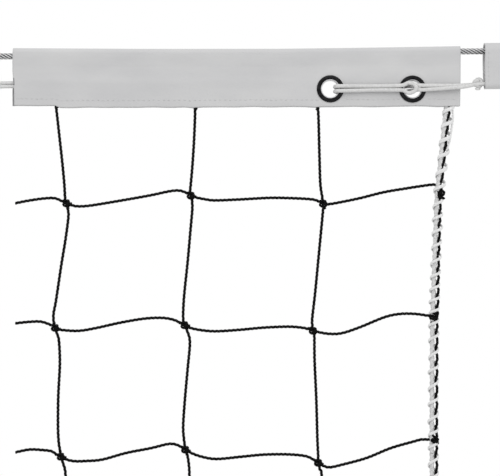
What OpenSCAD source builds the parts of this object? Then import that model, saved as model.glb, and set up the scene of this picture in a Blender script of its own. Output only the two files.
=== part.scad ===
// Corner panel of a knotted sports net: a steel headline cable with an eye at each end, a folded
// vinyl headband on the cable, cord lacing through two eyelets, a sliding end cover, and a knotted
// square mesh with a laced rope border down its side and along its foot.
// The origin is the centre of the left cable eye. +X runs along the cable, the net faces -Y.

/* [Cable] */
// Diameter of the steel cable
cable_d = 5; // [4.6:0.1:5.2]
// Distance between the centres of the two cable eyes
eye_span = 524; // [520:1:560]
// Radius of the bore through each thimble
thimble_bore_r = 6.5; // [5:0.1:6.8]
// Width of each thimble
thimble_w = 9; // [8:0.5:10]
// Length of each crimped ferrule
ferrule_l = 18; // [14:1:20]

/* [Headband] */
// Left end of the headband
band_x = 60; // [56:1:64]
// Length of the headband
band_l = 352; // [350:0.5:353]
// Height of the hem's lower edge
hem_z = -39.9; // [-40.1:0.1:-39.6]
// Thickness of the vinyl
vinyl_t = 0.9; // [0.6:0.1:1]

/* [Eyelets] */
// Distance from the left cable eye to the first eyelet
first_eyelet_x = 309.5; // [309:0.5:310]
// Distance between the two eyelets
eyelet_gap = 64.5; // [64:0.5:65]
// Height of the left eyelet's centre
eyelet_z = -26; // [-26.2:0.1:-25.8]
// How far the right eyelet sits below the left one
eyelet_drop = 0.9; // [0:0.1:1]
// Outer radius of an eyelet
eyelet_r = 10.6; // [10:0.1:10.8]
// Radius of the hole through an eyelet
eyelet_hole_r = 6.6; // [6.5:0.1:6.8]

/* [Cords] */
// Diameter of the white cords
cord_d = 3; // [2.6:0.1:3]

/* [Cover] */
// Left end of the sliding end cover
cover_x = 430.5; // [430.5:0.5:431]
// Length of the end cover
cover_l = 40; // [36:1:40]

/* [Net] */
// Diameter of the black net twine
twine_d = 2; // [1.6:0.1:2.2]
// Radius of the solid that holds one net knot
knot_r = 3.4; // [3:0.1:3.4]

/* [Border] */
// Diameter of the white border rope
rope_d = 3.4; // [3:0.1:3.4]
// Diameter of the black selvage twine beside the rope
selvage_d = 1.9; // [1.6:0.1:1.9]
// Diameter of the white lacing wound round the rope and the selvage
lacing_d = 1.6; // [1.2:0.1:1.6]
// Distance between two turns of the lacing
lacing_pitch = 11.3; // [10:0.1:14]

/* [Hidden] */
$fn = 48;

// The main run of the cable lies half a cable above the line between the eye centres,
// because the turned-back tail lies half a cable below it.
leg_z = cable_d / 2 + 0.1;
groove_r = 11.1;            // from an eye's centre to the centre of the cable round it
ferrule_x = 28;             // from an eye's centre to the near end of its ferrule
eyelet_xs = [first_eyelet_x, first_eyelet_x + eyelet_gap];
eyelet_zs = [eyelet_z, eyelet_z - eyelet_drop];
cord_r = cord_d / 2;
hinge_zs = [-41.6, -112, -211.5, -313];   // heights of the hem and the three hinged knot rows

white = [0.86, 0.87, 0.88];
cord_white = [0.93, 0.93, 0.92];
black = [0.06, 0.06, 0.07];
steel = [0.6, 0.61, 0.63];
gunmetal = [0.25, 0.25, 0.27];

// Route points, in the plane of the net, as [x, z].
column_tops = [[93.5, -41.6], [203.5, -41.6], [299.5, -41.6]];
row_knots = [
    [[101, -113.5], [199, -108.5], [303, -116]],
    [[91, -211.5], [193, -210.5], [294, -216]],
    [[94.5, -313], [192.5, -308.5], [297, -320]]
];
side_knot_zs = [-109.4, -206.2, -303];
foot_knot_xs = [93, 195, 293];
foot_z = -411;

drops = [
    [[[94.5, -45], [96, -60], [98, -80], [99.5, -98], [100, -109]],
     [[203, -45], [202, -65], [200.5, -85], [199, -100], [198.5, -104]],
     [[300, -45], [300.5, -75], [301, -100], [302.5, -111.5]]],
    [[[102, -118], [102.5, -124], [100, -142], [96.5, -162], [92, -190], [90, -200], [90, -207]],
     [[200, -114], [200, -120], [198.5, -135], [196, -160], [193, -186], [192, -200], [192, -206]],
     [[303, -120.5], [302, -130], [299, -158], [296, -186], [293.5, -206], [293.5, -211.5]]],
    [[[92.5, -216], [94, -222], [94.5, -240], [93, -265], [92.5, -290], [93, -302], [94, -308.5]],
     [[195, -215], [197, -224], [195, -245], [192.5, -270], [191, -290], [191.5, -300], [192, -304]],
     [[295, -220.5], [295, -240], [296, -270], [296.5, -300], [297, -315.5]]],
    [[[96, -317.5], [98, -327], [97, -350], [94, -380], [93, -400], [93, -406]],
     [[194.5, -315], [195.5, -328], [194, -350], [193.5, -380], [194.5, -400], [195, -406]],
     [[298, -324.5], [299.5, -330], [297, -355], [293, -385], [292.5, -400], [293, -406]]]
];

crosses = [
    [[[61, -113], [72, -111], [84, -109.5], [92, -109.5], [98, -112]],
     [[105, -115], [110, -116], [120, -115.5], [143, -112], [167, -108], [182, -105], [190, -104.5],
      [196, -106.5]],
     [[203, -110], [210, -111.5], [218, -112.5], [237, -112], [261, -111], [280, -111.5],
      [294, -112.5], [298.8, -113.8]],
     [[307, -116.5], [314, -115.5], [332, -112], [351, -107.5], [370, -104.5], [384, -102.5],
      [389.5, -102]]],
    [[[60, -207.5], [71, -206.5], [80, -206.5], [87.5, -209]],
     [[95, -213], [109, -214], [123, -212], [142, -208], [161, -205], [175, -204.5], [184, -206],
      [189.5, -208.5]],
     [[197, -212.5], [206, -214.5], [218, -215.5], [237, -214.5], [256, -213], [275, -212.5],
      [286, -213.5], [290, -214.5]],
     [[298, -217], [307, -218.5], [317, -218], [331, -213.5], [350, -206], [362, -203.5],
      [374, -203.5], [384.5, -205]]],
    [[[59, -309], [70, -307], [80, -307.5], [87, -308.5], [91, -311]],
     [[98.5, -315], [105, -316.5], [114, -316.5], [127, -315.5], [146, -310.5], [165, -307],
      [178, -304], [184, -304], [189, -306]],
     [[196, -310.5], [205, -314], [217, -316], [236, -314.5], [254, -313], [273, -313],
      [287, -314.5], [293.5, -317.5]],
     [[300.5, -322], [306, -323.5], [316, -321.5], [335, -316.5], [354, -309], [372, -304],
      [378, -302.5], [382.5, -302.5]]]
];

border_centre = [[402, -45], [394.2, -112], [389.5, -211.5], [388, -313], [388, -399]];

head_cord_route = [
    [285, 0, -18.6], [240, 0, -18.4], [180, 0, -18.3], [120, 0, -18.3], [70, 0, -18.3],
    [50, 0, -18.2], [40, 0, -17], [32, 0, -14.6], [24, 0, -13.6], [18, 0, -16], [15.6, 0, -20],
    [18, 0, -24], [24, 0, -26.4], [32, 0, -25.4], [40, 0, -23], [50, 0, -21.8], [70, 0, -21.5],
    [120, 0, -21.5], [180, 0, -21.5], [240, 0, -21.4], [285, 0, -21.8]
];

// The lacing cord is folded in half. From the loop at its right end one leg runs left to the right
// eyelet, along the back, out through the left eyelet and along the front to the fold, which
// lies over the right eyelet. The other half comes back the same way and out through the fold.
rim_y = 5.2;          // centre of a strand that lies on an eyelet's rim
back_y = 5.1;
lacing_cord_route = [
    [489, -1.2, -25.4], [494, -0.8, -29], [500, 0, -31], [506, 0, -29.5], [509.5, 0, -25],
    [509.5, 0, -20], [506, 0, -15.8], [500, 0.2, -14.2], [494, 1, -16.5], [489, 1.6, -20.5],
    [483, 1.6, -22.4], [474, 1.6, -22.6], [450, 1.6, -22.7], [432, 1.6, -23], [424, 1.6, -23.2],
    [419.5, 0.9, -23.2], [416, -2, -23.3], [412.5, -4.7, -23.8], [407, -rim_y, -24.2],
    [396, -rim_y, -24.4], [386, -rim_y, -24.4], [382.5, -rim_y, -24.4], [378.4, -4.9, -24.4],
    [375.7, -2.4, -24.3], [374, 0, -24.2], [372.3, 2.4, -24.1], [369.5, 4.8, -24],
    [365.5, 5.3, -24], [360, back_y, -24], [342, back_y, -24], [324, back_y, -24],
    [318, 5.2, -24.1], [314.9, 4.9, -24.2], [313.7, 2.6, -24.2], [313.4, 0, -24.2],
    [313.7, -2.6, -24.2], [314.9, -5, -24.2], [318, -5.3, -24.2], [324, -rim_y, -24.2],
    [342, -rim_y, -24.2], [360, -rim_y, -24.2], [366, -rim_y, -23.7], [371, -5.5, -23.6],
    [374.6, -5.9, -24.5], [375.8, -6, -26.2], [374.6, -5.9, -27.9], [371, -5.5, -28.8],
    [366, -rim_y, -28.6], [360, -rim_y, -28], [342, -rim_y, -27.8], [324, -rim_y, -27.8],
    [318, -5.3, -27.8], [314.9, -5, -27.8], [313.7, -2.6, -27.8], [313.4, 0, -27.8],
    [313.7, 2.6, -27.8], [314.9, 4.9, -27.8], [318, 5.2, -27.9], [324, back_y, -28],
    [342, back_y, -28], [360, back_y, -28], [365.5, 5.3, -28], [369.5, 4.8, -27.9],
    [372.3, 2.4, -27.8], [374, 0, -27.7], [375.7, -2.4, -27.7], [378.4, -4.9, -27.6],
    [382.5, -rim_y, -27.5], [386, -rim_y, -27.5], [396, -rim_y, -27.4], [407, -rim_y, -27.3],
    [412.5, -rim_y, -27], [416, -4.9, -26], [419.5, -3, -24.6], [424, -1.6, -23.4],
    [432, -1.6, -23], [450, -1.6, -22.7], [474, -1.6, -22.6], [483.5, -1.6, -22.6]
];

function unit(v) = v / norm(v);
function route_xz(points) = [for (p = points) [p[0], 0, p[1]]];

// A smooth run through every point, as many steps to each gap as asked for.
function catmull(a, b, c, d, t) =
    0.5 * (2 * b + (c - a) * t + (2 * a - 5 * b + 4 * c - d) * t * t
        + (3 * b - a - 3 * c + d) * t * t * t);
function smooth(p, steps) = let (last = len(p) - 1) concat(
    [for (i = [0 : last - 1]) for (k = [0 : steps - 1])
        catmull(p[max(i - 1, 0)], p[i], p[i + 1], p[min(i + 2, last)], k / steps)],
    [p[last]]);

// Directions and cross directions along a path, carried from ring to ring without twisting.
function directions(path) = let (last = len(path) - 1)
    [for (i = [0 : last]) unit(path[min(i + 1, last)] - path[max(i - 1, 0)])];
function square_to(v, along) = unit(v - (v * along) * along);
function carry(along, i, v) =
    i == len(along) ? [] : let (w = square_to(v, along[i])) concat([w], carry(along, i + 1, w));

module tube(path, radius, sides = 8) {
    along = directions(path);
    side_ways = carry(along, 0, abs(along[0] * [0, 1, 0]) < 0.9 ? [0, 1, 0] : [1, 0, 0]);
    last = len(path) - 1;
    points = [for (i = [0 : last]) for (k = [0 : sides - 1])
        let (turn = 360 * k / sides)
        path[i] + radius * (cos(turn) * side_ways[i] + sin(turn) * cross(along[i], side_ways[i]))];
    walls = [for (i = [0 : last - 1]) for (k = [0 : sides - 1])
        let (a = i * sides + k, b = i * sides + (k + 1) % sides)
        each [[a, a + sides, b], [b, a + sides, b + sides]]];
    near_end = [[for (k = [0 : sides - 1]) k]];
    far_end = [[for (k = [sides - 1 : -1 : 0]) last * sides + k]];
    polyhedron(points, concat(near_end, walls, far_end));
}

// ---- Cable, thimbles and ferrules ----

leg_reach = norm([ferrule_x, leg_z]);
leg_turn = atan2(leg_z, ferrule_x) + acos(groove_r / leg_reach);

function eye_arc() = [for (i = [0 : 16])
    let (turn = leg_turn + (360 - 2 * leg_turn) * i / 16)
    [groove_r * cos(turn), 0, groove_r * sin(turn)]];

// The cable in three lengths that meet inside the ferrules: the straight run, and at each end a
// loop from inside the ferrule, round the thimble and back to the cut end of the tail.
loop_x = 38;                // from an eye's centre to where its loop meets the straight run
loop_route = concat(
    [[loop_x, 0, leg_z], [34, 0, leg_z], [28.8, 0, leg_z], [26, 0, leg_z + 0.5]],
    eye_arc(),
    [[26, 0, -leg_z - 0.5], [28.8, 0, -leg_z], [34, 0, -leg_z], [46.8, 0, -leg_z]]);
function mirrored(path) = [for (p = path) [eye_span - p[0], p[1], p[2]]];

module steel_cable() {
    color(steel) tube([for (i = [0 : 8])
        [loop_x + (eye_span - 2 * loop_x) * i / 8, 0, leg_z]], cable_d / 2, 12);
}
module left_cable_loop() { color(steel) tube(loop_route, cable_d / 2, 12); }
module right_cable_loop() { color(steel) tube(mirrored(loop_route), cable_d / 2, 12); }

// A solid thimble: a grooved ring whose core and side plates run out to a point towards the
// ferrule. way is 1 where the cable leaves to the right and -1 where it leaves to the left.
module plate(half_outline, low_y, high_y) {
    mirrored_outline = [for (i = [len(half_outline) - 1 : -1 : 0])
        [half_outline[i][0], -half_outline[i][1]]];
    translate([0, high_y, 0]) rotate([90, 0, 0]) linear_extrude(high_y - low_y)
        polygon(concat(half_outline, mirrored_outline));
}
module thimble(eye_x, way) {
    flange_r = 11.6;
    floor_r = groove_r - cable_d / 2 - 0.15;
    lip = 1.4;
    half_w = thimble_w / 2;
    translate([eye_x, 0, 0]) mirror([way < 0 ? 1 : 0, 0, 0]) difference() {
        union() {
            rotate([90, 0, 0]) cylinder(r = floor_r, h = thimble_w, center = true);
            plate([[0, 8], [2.6, 8], [23, 1.2]], -half_w, half_w);
            for (low = [-half_w, half_w - lip]) {
                translate([0, low + lip, 0]) rotate([90, 0, 0]) cylinder(r = flange_r, h = lip);
                plate([[0, 11.5], [4, 10.9], [16, 6.8], [23, 2]], low, low + lip);
            }
        }
        rotate([90, 0, 0]) cylinder(r = thimble_bore_r, h = thimble_w + 2, center = true);
    }
}

module ferrule(start_x) {
    barrel_r = 4.2;
    hole_r = cable_d / 2 + 0.02;
    difference() {
        union() {
            for (z = [-leg_z, leg_z])
                translate([start_x, 0, z]) rotate([0, 90, 0]) cylinder(r = barrel_r, h = ferrule_l);
            translate([start_x, -barrel_r, -leg_z]) cube([ferrule_l, 2 * barrel_r, 2 * leg_z]);
        }
        for (z = [-leg_z, leg_z])
            translate([start_x - 1, 0, z]) rotate([0, 90, 0])
                cylinder(r = hole_r, h = ferrule_l + 2);
    }
}

module left_thimble() { color(steel) thimble(0, 1); }
module right_thimble() { color(steel) thimble(eye_span, -1); }
module left_ferrule() { color(steel) ferrule(ferrule_x + 1); }
module right_ferrule() { color(steel) ferrule(eye_span - ferrule_x - 1 - ferrule_l); }

// ---- Headband ----

// Half widths of the folded band, from the round fold on the cable down to the open hem.
fold_r = 3.1;
shoulder_z = -8;
cord_level_z = -23;
function band_outline(grow, foot) = concat(
    [for (turn = [0 : 15 : 180]) [(fold_r + grow) * cos(turn), leg_z + (fold_r + grow) * sin(turn)]],
    [[-1.9 - grow, shoulder_z], [-1.75 - grow, cord_level_z], [-1.4 - grow, foot],
     [1.4 + grow, foot], [1.75 + grow, cord_level_z], [1.9 + grow, shoulder_z]]);

// A section drawn across the cable, as [y, z], run along +X.
module along_cable(start_x, length) {
    translate([start_x, 0, 0]) rotate([90, 0, 90]) linear_extrude(length) children();
}

module headband() {
    color(white) difference() {
        along_cable(band_x, band_l) difference() {
            polygon(band_outline(vinyl_t, hem_z));
            polygon(band_outline(0, hem_z - 1));
        }
        for (side = [0, 1])
            translate([eyelet_xs[side], 10, eyelet_zs[side]]) rotate([90, 0, 0])
                cylinder(r = eyelet_hole_r + 0.8, h = 20);
    }
}

stitch_l = 2.4;
stitch_step = 4;
stitch_t = 0.35;
module stitch_row(start_x, length, y, z) {
    for (x = [start_x + stitch_step : stitch_step : start_x + length - stitch_step])
        translate([x, y - stitch_t / 2, z]) cube([stitch_l, stitch_t, 0.5]);
}

seam_z = -34.5;
seam_y = 1.52 + vinyl_t + 0.24;
seam_stop = eyelet_r + 1;   // the seam shows only this far from an eyelet's centre
module hem_stitching() {
    second_x = eyelet_xs[1];
    color(white) for (y = [-seam_y, seam_y]) {
        stitch_row(band_x, eyelet_xs[0] - seam_stop - band_x, y, seam_z);
        stitch_row(eyelet_xs[0] + seam_stop, eyelet_gap - 2 * seam_stop, y, seam_z);
        stitch_row(second_x + seam_stop, band_x + band_l - second_x - seam_stop, y, seam_z);
    }
}

// Front half of an eyelet: a flange and a barrel that reaches through both layers.
eyelet_seat_y = 2.8;
flange_t = 0.7;
module eyelet(side) {
    barrel_r = eyelet_hole_r + 0.7;
    reach = 2 * eyelet_seat_y + flange_t + 0.6;
    translate([eyelet_xs[side], -eyelet_seat_y - flange_t, eyelet_zs[side]]) rotate([-90, 0, 0])
        rotate_extrude() polygon([
            [eyelet_hole_r + 0.4, 0], [eyelet_r - 0.6, 0], [eyelet_r, flange_t],
            [barrel_r, flange_t], [barrel_r, reach], [eyelet_hole_r, reach],
            [eyelet_hole_r, 0.4]]);
}
module eyelet_washer(side) {
    translate([eyelet_xs[side], eyelet_seat_y, eyelet_zs[side]]) rotate([-90, 0, 0])
        rotate_extrude() polygon([
            [eyelet_hole_r + 0.75, 0], [eyelet_r, 0], [eyelet_r - 0.5, 0.6],
            [eyelet_hole_r + 0.75, 0.6]]);
}
module left_eyelet() { color(gunmetal) eyelet(0); }
module right_eyelet() { color(gunmetal) eyelet(1); }
module left_eyelet_washer() { color(gunmetal) eyelet_washer(0); }
module right_eyelet_washer() { color(gunmetal) eyelet_washer(1); }

module head_cord() { color(cord_white) tube(smooth(head_cord_route, 2), cord_r); }
module head_cord_knot() { color(cord_white) translate([46, 0, -20]) sphere(r = 4.4); }
module lacing_cord() { color(cord_white) tube(smooth(lacing_cord_route, 2), cord_r); }
module stopper_knot() { color(cord_white) translate([425.8, 0, -23.4]) sphere(r = 4.4); }
module end_knot() { color(cord_white) translate([486, 0, -22.8]) sphere(r = 4.4); }

top_selvage_z = hem_z + 1.3;
module top_selvage() {
    color(black) tube([for (x = [62 : 20 : 402]) [x, 0, top_selvage_z]], 1.2);
}
module hem_knots() {
    color(black) for (p = column_tops) translate([p[0], 0, p[1]]) sphere(r = 1.55);
}

// ---- Sliding end cover ----

cover_r = 5.1;
cover_foot_r = 3.4;
cover_foot_z = -23;
function cover_outline(grow) = concat(
    [for (turn = [0 : 15 : 180]) [(cover_r + grow) * cos(turn), leg_z + (cover_r + grow) * sin(turn)]],
    [for (turn = [180 : 15 : 360])
        [(cover_foot_r + grow) * cos(turn), cover_foot_z + (cover_foot_r + grow) * sin(turn)]]);

module cable_cover() {
    color(white) along_cable(cover_x, cover_l) difference() {
        polygon(cover_outline(vinyl_t));
        polygon(cover_outline(0));
    }
}
function cover_half(z) =
    vinyl_t + cover_r + (cover_foot_r - cover_r) * (leg_z - z) / (leg_z - cover_foot_z);
module cover_stitching() {
    color(white) {
        stitch_row(cover_x, cover_l, cover_half(-19) + 0.3, -19);
        for (z = [-20 : stitch_step : 0])
            for (side = [-1, 1])
                translate([cover_x + 3, side * (cover_half(z) + 0.35) - stitch_t / 2, z])
                    cube([0.5, stitch_t, stitch_l]);
    }
}

// ---- Mesh ----

module drop_twine(column, row) {
    color(black) tube(smooth(route_xz(drops[row - 1][column]), 2), twine_d / 2);
}
module drop_twine_a1() { drop_twine(0, 1); }
module drop_twine_b1() { drop_twine(1, 1); }
module drop_twine_c1() { drop_twine(2, 1); }
module drop_twine_a2() { drop_twine(0, 2); }
module drop_twine_b2() { drop_twine(1, 2); }
module drop_twine_c2() { drop_twine(2, 2); }
module drop_twine_a3() { drop_twine(0, 3); }
module drop_twine_b3() { drop_twine(1, 3); }
module drop_twine_c3() { drop_twine(2, 3); }
module drop_twine_a4() { drop_twine(0, 4); }
module drop_twine_b4() { drop_twine(1, 4); }
module drop_twine_c4() { drop_twine(2, 4); }

module cross_twine(row) {
    color(black) for (run = crosses[row - 1]) tube(smooth(route_xz(run), 2), twine_d / 2);
}
module cross_twine_1() { cross_twine(1); }
module cross_twine_2() { cross_twine(2); }
module cross_twine_3() { cross_twine(3); }

module net_knots(row) {
    color(black) for (p = row_knots[row - 1]) translate([p[0], 0, p[1]]) sphere(r = knot_r);
}
module net_knots_1() { net_knots(1); }
module net_knots_2() { net_knots(2); }
module net_knots_3() { net_knots(3); }
// ---- Laced border ----

// The selvage twine is the outer edge of the mesh, the rope lies along its inner side, and the
// lacing is wound round both. Each row has its own length of the three, so the net can fold.
rope_offset = -1.1;
selvage_offset = 1.65;
rope_gap = 1.6;       // half of the gap left in the rope at each hinge
lacing_gap = 3.2;     // half of the gap left in the lacing at each hinge
corner_r = 12;

// Down the side in four runs. The last goes on round the corner and along the foot.
function corner_arc() = [for (turn = [0 : 15 : 90])
    [388 - corner_r + corner_r * cos(turn), foot_z + corner_r - corner_r * sin(turn)]];
function foot_run() = concat([for (x = [366 : -12 : 66]) [x, foot_z]], [[60, foot_z]]);
function border_line(row) = row < 4
    ? [border_centre[row - 1], border_centre[row]]
    : concat([border_centre[3]], corner_arc(), foot_run());

// Distance from the start of a line to each of its points, and the place at a given distance,
// as [point, sideways], where sideways points away from the mesh.
function marks(line, i = 0, sum = 0) = i == len(line) ? []
    : let (here = i == 0 ? 0 : sum + norm(line[i] - line[i - 1]))
      concat([here], marks(line, i + 1, here));
function place(line, stops, s) =
    let (i = max(1, min(len([for (m = stops) if (m <= s) m]), len(line) - 1)),
        share = (s - stops[i - 1]) / (stops[i] - stops[i - 1]),
        d = unit(line[i] - line[i - 1]))
    [line[i - 1] + share * (line[i] - line[i - 1]), [-d[1], d[0]]];

function line_length(row) = let (stops = marks(border_line(row))) stops[len(stops) - 1];
function line_start(row) = row == 1 ? 0 : line_start(row - 1) + line_length(row - 1);

// One strand beside the border's centre line, from one distance to another.
function strand(row, shift, from, to) =
    let (line = border_line(row), stops = marks(line),
        inner = [for (m = stops) if (m > from + 1 && m < to - 1) m],
        at = concat([from], inner, [to]))
    [for (s = at) let (here = place(line, stops, s)) here[0] + shift * here[1]];

module border_tube(row, shift, radius) {
    tube(route_xz(strand(row, shift, row == 1 ? 0 : rope_gap,
        line_length(row) - (row == 4 ? 0 : rope_gap))), radius);
}

// The lacing's centre line is a helix on an oval round the rope and the selvage.
oval_wide = 3.8;
oval_deep = 2.85;
turn_steps = 8;
knot_room = 4.2;      // length of border left free of lacing on each side of a knot
function foot_stop(x) = line_length(4) - (x - 60);
lacing_spans = [
    [[0, border_centre[0][1] - side_knot_zs[0] - knot_room]],
    [[lacing_gap, border_centre[1][1] - side_knot_zs[1] - knot_room]],
    [[lacing_gap, border_centre[2][1] - side_knot_zs[2] - knot_room]],
    [[lacing_gap, foot_stop(foot_knot_xs[2]) - knot_room],
     [foot_stop(foot_knot_xs[2]) + knot_room, foot_stop(foot_knot_xs[1]) - knot_room],
     [foot_stop(foot_knot_xs[1]) + knot_room, foot_stop(foot_knot_xs[0]) - knot_room],
     [foot_stop(foot_knot_xs[0]) + knot_room, line_length(4) - 1]]
];
function helix(row, span) =
    let (line = border_line(row), stops = marks(line), start = line_start(row),
        steps = ceil(turn_steps * (span[1] - span[0]) / lacing_pitch))
    [for (i = [0 : steps])
        let (s = span[0] + (span[1] - span[0]) * i / steps,
            turn = 360 * (start + s) / lacing_pitch,
            here = place(line, stops, s),
            out = here[0] + oval_wide * cos(turn) * here[1])
        [out[0], -oval_deep * sin(turn), out[1]]];
module border_lacing(row) {
    for (span = lacing_spans[row - 1]) tube(helix(row, span), lacing_d / 2, 6);
}

module border_rope_1() { color(white) border_tube(1, rope_offset, rope_d / 2); }
module border_rope_2() { color(white) border_tube(2, rope_offset, rope_d / 2); }
module border_rope_3() { color(white) border_tube(3, rope_offset, rope_d / 2); }
module border_rope_4() { color(white) border_tube(4, rope_offset, rope_d / 2); }
module border_selvage_1() { color(black) border_tube(1, selvage_offset, selvage_d / 2); }
module border_selvage_2() { color(black) border_tube(2, selvage_offset, selvage_d / 2); }
module border_selvage_3() { color(black) border_tube(3, selvage_offset, selvage_d / 2); }
module border_selvage_4() { color(black) border_tube(4, selvage_offset, selvage_d / 2); }
module border_lacing_1() { color(cord_white) border_lacing(1); }
module border_lacing_2() { color(cord_white) border_lacing(2); }
module border_lacing_3() { color(cord_white) border_lacing(3); }
module border_lacing_4() { color(cord_white) border_lacing(4); }

// A knot that grips the selvage twine beside the rope. Drawn with the selvage along Z and the
// rope on its -X side.
module selvage_knot() {
    grip_r = selvage_d / 2 + 0.05;
    difference() {
        rotate_extrude() polygon([
            [grip_r, -2.4], [1.6, -2.4], [2.5, -1.1], [2.5, 1.1], [1.6, 2.4], [grip_r, 2.4]]);
        translate([rope_offset - selvage_offset, 0, 0])
            cylinder(r = rope_d / 2 + 0.12, h = 8, center = true);
    }
}
module side_knot(row) {
    top = border_centre[row - 1];
    foot = border_centre[row];
    tilt = atan2(top[0] - foot[0], top[1] - foot[1]);
    z = side_knot_zs[row - 1];
    x = foot[0] + (top[0] - foot[0]) * (z - foot[1]) / (top[1] - foot[1]);
    color(black) translate([x, 0, z]) rotate([0, tilt, 0]) translate([selvage_offset, 0, 0])
        selvage_knot();
}
module side_knot_1() { side_knot(1); }
module side_knot_2() { side_knot(2); }
module side_knot_3() { side_knot(3); }
module foot_knots() {
    color(black) for (x = foot_knot_xs)
        translate([x, 0, foot_z - selvage_offset]) rotate([0, 90, 0]) selvage_knot();
}

steel_cable();
left_cable_loop();
right_cable_loop();
left_thimble();
right_thimble();
left_ferrule();
right_ferrule();
headband();
hem_stitching();
left_eyelet();
left_eyelet_washer();
right_eyelet();
right_eyelet_washer();
head_cord();
head_cord_knot();
lacing_cord();
stopper_knot();
end_knot();
top_selvage();
hem_knots();
cable_cover();
cover_stitching();
drop_twine_a1();
drop_twine_b1();
drop_twine_c1();
drop_twine_a2();
drop_twine_b2();
drop_twine_c2();
drop_twine_a3();
drop_twine_b3();
drop_twine_c3();
drop_twine_a4();
drop_twine_b4();
drop_twine_c4();
cross_twine_1();
cross_twine_2();
cross_twine_3();
net_knots_1();
net_knots_2();
net_knots_3();
foot_knots();
side_knot_1();
side_knot_2();
side_knot_3();
border_rope_1();
border_rope_2();
border_rope_3();
border_rope_4();
border_selvage_1();
border_selvage_2();
border_selvage_3();
border_selvage_4();
border_lacing_1();
border_lacing_2();
border_lacing_3();
border_lacing_4();
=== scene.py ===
import math

import bpy
import numpy as np
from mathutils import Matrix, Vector


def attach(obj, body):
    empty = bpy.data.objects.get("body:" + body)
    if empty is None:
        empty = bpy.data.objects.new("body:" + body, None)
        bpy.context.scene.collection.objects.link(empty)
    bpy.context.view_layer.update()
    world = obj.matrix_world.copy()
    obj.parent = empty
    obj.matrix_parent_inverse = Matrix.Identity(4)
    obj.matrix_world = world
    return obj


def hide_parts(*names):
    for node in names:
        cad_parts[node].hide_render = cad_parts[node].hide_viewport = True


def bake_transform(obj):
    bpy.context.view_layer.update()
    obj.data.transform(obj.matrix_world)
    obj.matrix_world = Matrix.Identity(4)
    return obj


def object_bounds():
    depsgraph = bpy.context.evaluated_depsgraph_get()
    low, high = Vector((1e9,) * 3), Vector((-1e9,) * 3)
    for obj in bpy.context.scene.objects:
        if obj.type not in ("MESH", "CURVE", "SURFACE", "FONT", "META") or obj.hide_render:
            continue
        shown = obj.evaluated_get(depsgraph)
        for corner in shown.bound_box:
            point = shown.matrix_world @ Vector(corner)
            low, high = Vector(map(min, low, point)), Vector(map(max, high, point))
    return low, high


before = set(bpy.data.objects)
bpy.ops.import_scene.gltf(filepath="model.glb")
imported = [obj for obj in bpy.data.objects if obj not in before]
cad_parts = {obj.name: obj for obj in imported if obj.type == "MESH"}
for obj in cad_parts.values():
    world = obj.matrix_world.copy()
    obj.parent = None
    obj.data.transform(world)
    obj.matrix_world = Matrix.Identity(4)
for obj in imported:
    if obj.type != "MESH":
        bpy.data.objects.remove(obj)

cad_low, cad_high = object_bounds()

# ---- Studio ----
# The net hangs in front of a white backdrop over a pale floor. A long lens faces it square on from
# about a metre away, turned a hair so that the cable climbs to the right.
scene = bpy.context.scene
camera = bpy.data.objects.new("camera", bpy.data.cameras.new("camera"))
camera.data.lens = 100
camera.data.sensor_width = 36
camera.location = (0.2452, -1.093, -0.1424)
camera.rotation_euler = (math.radians(90), math.radians(0.616), 0)
scene.collection.objects.link(camera)
scene.camera = camera
scene.view_settings.view_transform = "Standard"

backdrop = bpy.data.worlds.new("white_backdrop")
backdrop.use_nodes = True
glow = backdrop.node_tree.nodes["Background"]
glow.inputs["Color"].default_value = (1, 1, 1, 1)
glow.inputs["Strength"].default_value = 1.0
scene.world = backdrop


def softbox(name, place, aim, size, watts):
    """A square area light that faces a point."""
    light = bpy.data.lights.new(name, "AREA")
    light.size = size
    light.energy = watts
    holder = bpy.data.objects.new(name, light)
    holder.location = place
    holder.rotation_euler = (Vector(aim) - Vector(place)).to_track_quat("-Z", "Y").to_euler()
    scene.collection.objects.link(holder)


softbox("high_softbox", (0.1, -0.9, 1.0), (0.25, 0, -0.1), 1.3, 5.5)
softbox("side_softbox", (1.3, -0.7, 0.2), (0.25, 0, -0.15), 0.6, 1.5)

floor_gap = 0.35
floor_mesh = bpy.data.meshes.new("floor")
floor_z = cad_low.z - floor_gap
floor_mesh.from_pydata(
    [(-1.8, -1.9, floor_z), (2.3, -1.9, floor_z), (2.3, 1.9, floor_z), (-1.8, 1.9, floor_z)],
    [], [(0, 1, 2, 3)])
floor = bpy.data.objects.new("floor", floor_mesh)
scene.collection.objects.link(floor)
floor_paint = bpy.data.materials.new("pale_floor")
floor_paint.use_nodes = True
floor_shader = floor_paint.node_tree.nodes["Principled BSDF"]
floor_shader.inputs["Base Color"].default_value = (0.8, 0.8, 0.8, 1)
floor_shader.inputs["Roughness"].default_value = 0.7
floor_mesh.materials.append(floor_paint)

# ---- Headline cable ----
# Galvanised wire rope, 5 mm: six strands of wires laid right-handed round a core. It is turned back
# round a thimble at each end, and the tail is crimped beside the main run in a ferrule.
cable_z = 2.6                # the main run's height over the line between the eyes
eye_span = 524.0
eye_turn_r = 11.1            # the cable's middle round the thimble
eye_neck_x = 28.0            # where the two runs have closed up again
strand_lay, strand_ring = 21.0, 1.76
strand_outline_r = [0.74, 0.62] * 6
wire_lay = -8.0
core_r, core_lay = 1.25, 90.0


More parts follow.
